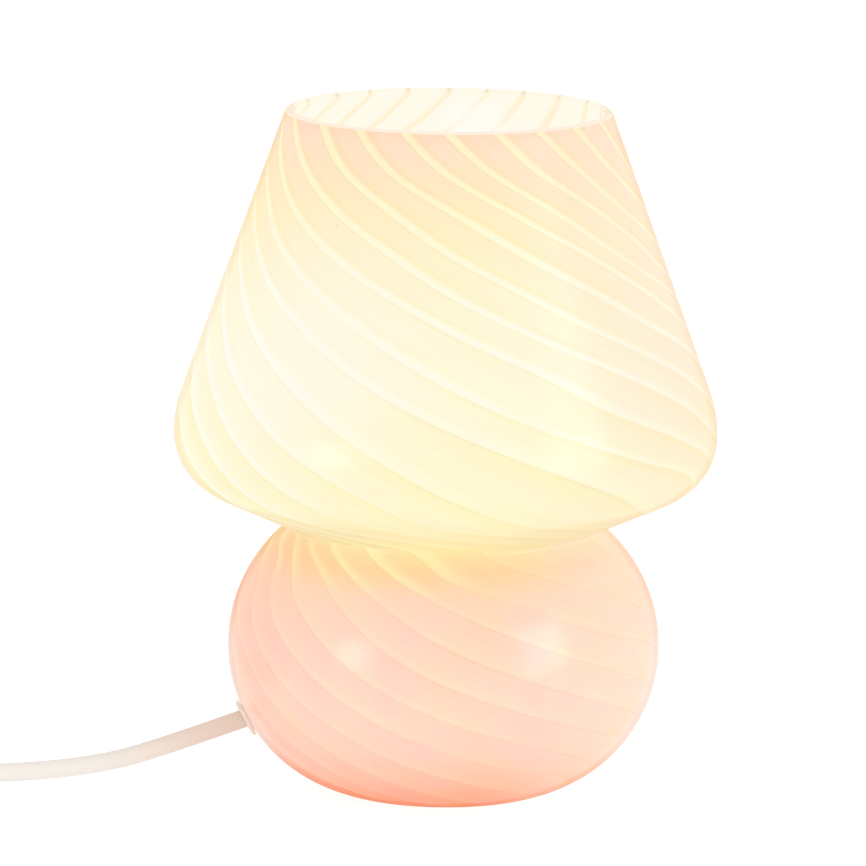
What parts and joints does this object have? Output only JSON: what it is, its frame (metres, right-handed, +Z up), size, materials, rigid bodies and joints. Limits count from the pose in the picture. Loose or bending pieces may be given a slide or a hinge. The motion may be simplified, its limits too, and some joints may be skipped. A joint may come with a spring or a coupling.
{
  "type": "table lamp",
  "caption": "Small mushroom table lamp blown in one piece of swirled opal glass, open at the top, with a screw-in bulb inside and a cord with an in-line rocker switch.",
  "frame": {"origin": "on the surface that the lamp stands on, on the axis of the glass, cord pieces left out", "axes": "+Z up along the axis of the glass; the cord leaves the base towards -X; the pictured side faces -Y"},
  "size_m": [0.4046, 0.152, 0.1915],
  "materials": {
    "lamp_glass": "glossy blown opal glass with pale swirling stripes",
    "clear_plastic": "clear moulded plastic",
    "cord_white": "smooth white cord sheath",
    "core_brown": "core insulation",
    "holder_white": "heat-resistant plastic",
    "holder_insert": "glazed insulating insert",
    "brass": "plain brass",
    "steel": "plain steel",
    "spring_steel": "zinc-plated spring steel",
    "sleeve_clear": "soft translucent sleeve",
    "bulb_metal": "thin pressed metal",
    "bulb_black": "black glass insulator",
    "bulb_clear": "clear glass",
    "filament": "coated light-emitting rods",
    "switch_white": "glossy white housing",
    "plug_white": "moulded white plug",
    "plug_black": "insulating sleeve",
    "pin_metal": "nickel-plated brass"
  },
  "bodies": {
    "lamp": {"glass_body": "lamp_glass", "cord_grommet": "clear_plastic", "inner_cord": "cord_white", "core_wires": "core_brown", "holder_cap": "holder_white", "cord_grip_screw": "steel", "holder_insert": "holder_insert", "terminal_screws": "brass", "holder_shell": "holder_white", "holder_screw_shell": "brass", "centre_contact": "brass", "clamp_ring": "holder_white", "spring_carrier": "spring_steel", "carrier_sleeves": "sleeve_clear", "lamp_lead": "cord_white", "switch_base": "switch_white", "switch_cover": "switch_white", "switch_contacts": "brass", "cord_clamps": "switch_white", "switch_cord_ends": "cord_white", "switch_cores": "core_brown", "switch_screws": "steel", "switch_lead": "cord_white", "cord_coil": "cord_white", "coil_tie": "plug_black", "plug_lead": "cord_white", "plug_strain_relief": "plug_white", "plug_body": "plug_white", "plug_pins": "pin_metal", "plug_pin_sleeves": "plug_black"},
    "bulb_shell": {"bulb_glass": "bulb_clear"},
    "bulb_core": {"bulb_cap": "bulb_metal", "bulb_insulator": "bulb_black", "bulb_contact": "brass", "bulb_stem": "bulb_clear", "bulb_filaments": "filament", "filament_wires": "steel"},
    "rocker": {"switch_rocker": "switch_white", "contact_blade": "brass"}
  },
  "joints": [
    {"name": "bulb_lift", "type": "slide", "parent": "lamp", "child": "bulb_shell", "axis": [0, 0, 1], "range_m": [0, 0.00987]},
    {"name": "bulb_turn", "type": "hinge", "parent": "bulb_shell", "child": "bulb_core", "pos_m": [0, 0, 0.1], "axis": [0, 0, 1], "range_deg": [0, 1260]},
    {"name": "rocker_tip", "type": "hinge", "parent": "lamp", "child": "rocker", "pos_m": [-0.251, -0.04, 0.0112], "axis": [0, 1, 0], "range_deg": [0, 14]}
  ],
  "couplings": [
    {"joint": "bulb_turn", "follows": "bulb_lift", "rad_per_m": 2228.1}
  ]
}
